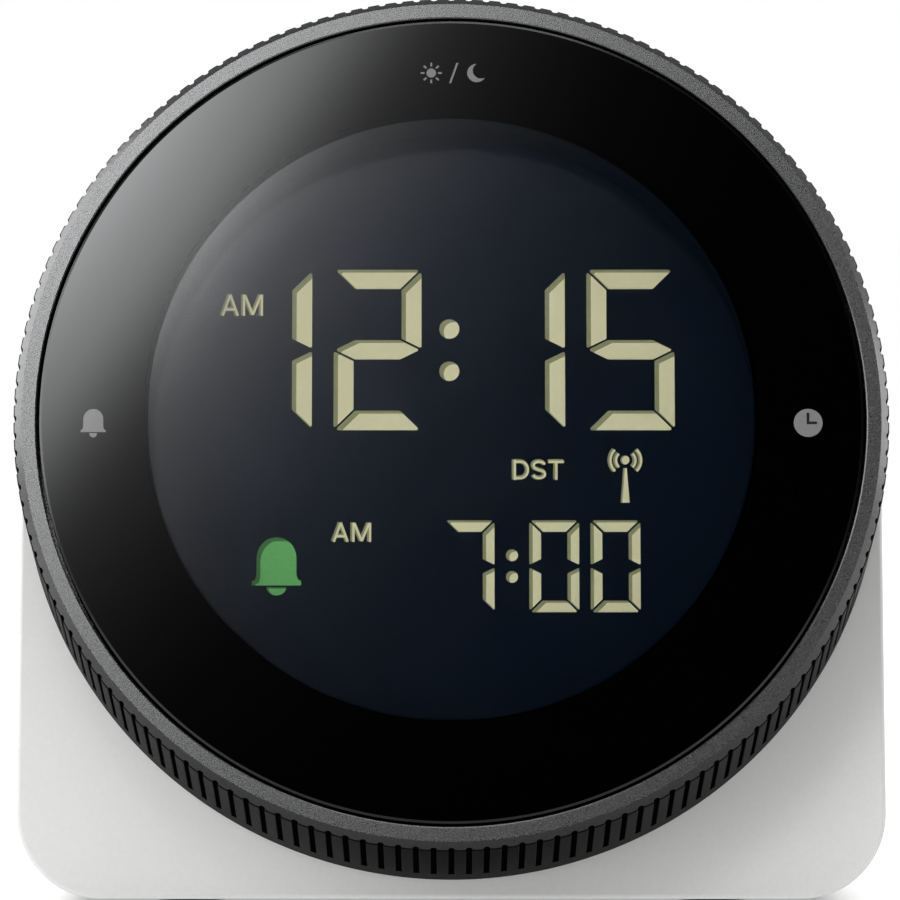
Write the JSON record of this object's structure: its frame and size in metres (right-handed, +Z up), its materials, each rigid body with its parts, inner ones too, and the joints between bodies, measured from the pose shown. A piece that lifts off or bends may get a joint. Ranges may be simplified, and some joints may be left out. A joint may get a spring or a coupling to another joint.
{
  "type": "alarm clock",
  "caption": "Radio-controlled bedside alarm clock: round display leaning back behind a rocking lens, ribbed setting ring, white stand with a rear battery door.",
  "frame": {"origin": "centre of the bounding box, on the surface the rubber feet rest on", "axes": "+Z up, the display looks along -Y and leans back, +X to the right as seen from the front"},
  "size_m": [0.0844, 0.0544, 0.0877],
  "materials": {
    "white_plastic": "satin moulded ABS",
    "black_plastic": "matt moulded ABS",
    "grey_plastic": "matt moulded ABS",
    "gunmetal_finish": "satin metallic gunmetal lacquer",
    "clear_acrylic": "polished clear acrylic",
    "black_film": "black printed film",
    "display_glass": "blue-black display glass",
    "cream_segments": "cream display segments",
    "green_segment": "green display segment",
    "pale_plastic": "natural acetal and acrylic",
    "circuit_board": "green solder mask",
    "steel": "plated steel",
    "rubber": "black rubber",
    "ferrite": "bare ferrite",
    "copper_winding": "enamelled copper",
    "cell_wrap": "printed foil sleeve on steel",
    "wire_jacket": "soft red wire jacket"
  },
  "bodies": {
    "stand": {"front_housing": "white_plastic", "rear_cover": "white_plastic", "chassis": "black_plastic", "ring_retainer": "black_plastic", "encoder_body": "black_plastic", "aerial_cradles": "black_plastic", "sounder": "black_plastic", "zone_switch_body": "black_plastic", "reset_switch_body": "black_plastic", "clock_chip": "black_plastic", "display_glass": "display_glass", "time_figures": "cream_segments", "alarm_figures": "cream_segments", "signal_sign": "cream_segments", "bell_sign": "green_segment", "light_guide": "pale_plastic", "glide_washer": "pale_plastic", "backlight_leds": "pale_plastic", "main_board": "circuit_board", "receiver_module": "circuit_board", "cover_screws": "steel", "clamp_screws": "steel", "board_screws": "steel", "press_switches": "steel", "quartz_can": "steel", "spring_contacts": "steel", "plate_contacts": "steel", "rubber_feet": "rubber", "contact_strips": "rubber", "sounder_gasket": "rubber", "ferrite_rod": "ferrite", "aerial_winding": "copper_winding", "battery_cells": "cell_wrap", "inner_wires": "wire_jacket"},
    "ring": {"setting_ring": "gunmetal_finish"},
    "encoder": {"encoder_pinion": "pale_plastic"},
    "gimbal": {"gimbal_ring": "steel"},
    "lens": {"front_lens": "clear_acrylic", "lens_mask": "black_film", "lens_tape": "black_film", "lens_carrier": "black_plastic"},
    "light_switch": {"light_plunger": "pale_plastic"},
    "alarm_switch": {"alarm_plunger": "pale_plastic"},
    "clock_switch": {"clock_plunger": "pale_plastic"},
    "door": {"battery_door": "white_plastic"},
    "zone_knob": {"zone_switch_knob": "black_plastic"},
    "reset": {"reset_button": "grey_plastic"}
  },
  "joints": [
    {"name": "ring_spin", "type": "hinge", "parent": "stand", "child": "ring", "pos_m": [0, -0.01797, 0.04701], "axis": [0, -0.9744, 0.225], "continuous": true},
    {"name": "encoder_spin", "type": "hinge", "parent": "stand", "child": "encoder", "pos_m": [0.0251, -0.02361, 0.02256], "axis": [0, -0.9744, 0.225], "continuous": true},
    {"name": "lens_top_press", "type": "hinge", "parent": "stand", "child": "gimbal", "pos_m": [0, -0.01309, 0.04589], "axis": [-1, 0, 0], "range_deg": [0, 0.8], "stiffness_Nm_per_rad": 4},
    {"name": "lens_side_press", "type": "hinge", "parent": "gimbal", "child": "lens", "pos_m": [0, -0.01309, 0.04589], "axis": [0, 0.225, 0.9744], "range_deg": [-0.8, 0.8], "stiffness_Nm_per_rad": 4},
    {"name": "light_switch_press", "type": "slide", "parent": "stand", "child": "light_switch", "axis": [0, 0.9744, -0.225], "range_m": [0, 0.00048]},
    {"name": "alarm_switch_press", "type": "slide", "parent": "stand", "child": "alarm_switch", "axis": [0, 0.9744, -0.225], "range_m": [-0.00048, 0.00048]},
    {"name": "clock_switch_press", "type": "slide", "parent": "stand", "child": "clock_switch", "axis": [0, 0.9744, -0.225], "range_m": [-0.00048, 0.00048]},
    {"name": "battery_door_swing", "type": "hinge", "parent": "stand", "child": "door", "pos_m": [0, 0.02633, 0.0059], "axis": [-1, 0, 0], "range_deg": [0, 90]},
    {"name": "zone_switch_slide", "type": "slide", "parent": "stand", "child": "zone_knob", "axis": [1, 0, 0], "range_m": [-0.0022, 0.0022]},
    {"name": "reset_press", "type": "slide", "parent": "stand", "child": "reset", "axis": [0, -1, 0], "range_m": [0, 0.0008], "stiffness_N_per_m": 900}
  ],
  "couplings": [
    {"joint": "encoder_spin", "follows": "ring_spin", "ratio": 15.2},
    {"joint": "light_switch_press", "follows": "lens_top_press", "m_per_rad": 0.033844},
    {"joint": "clock_switch_press", "follows": "lens_side_press", "m_per_rad": 0.033844},
    {"joint": "alarm_switch_press", "follows": "lens_side_press", "m_per_rad": -0.033844}
  ]
}
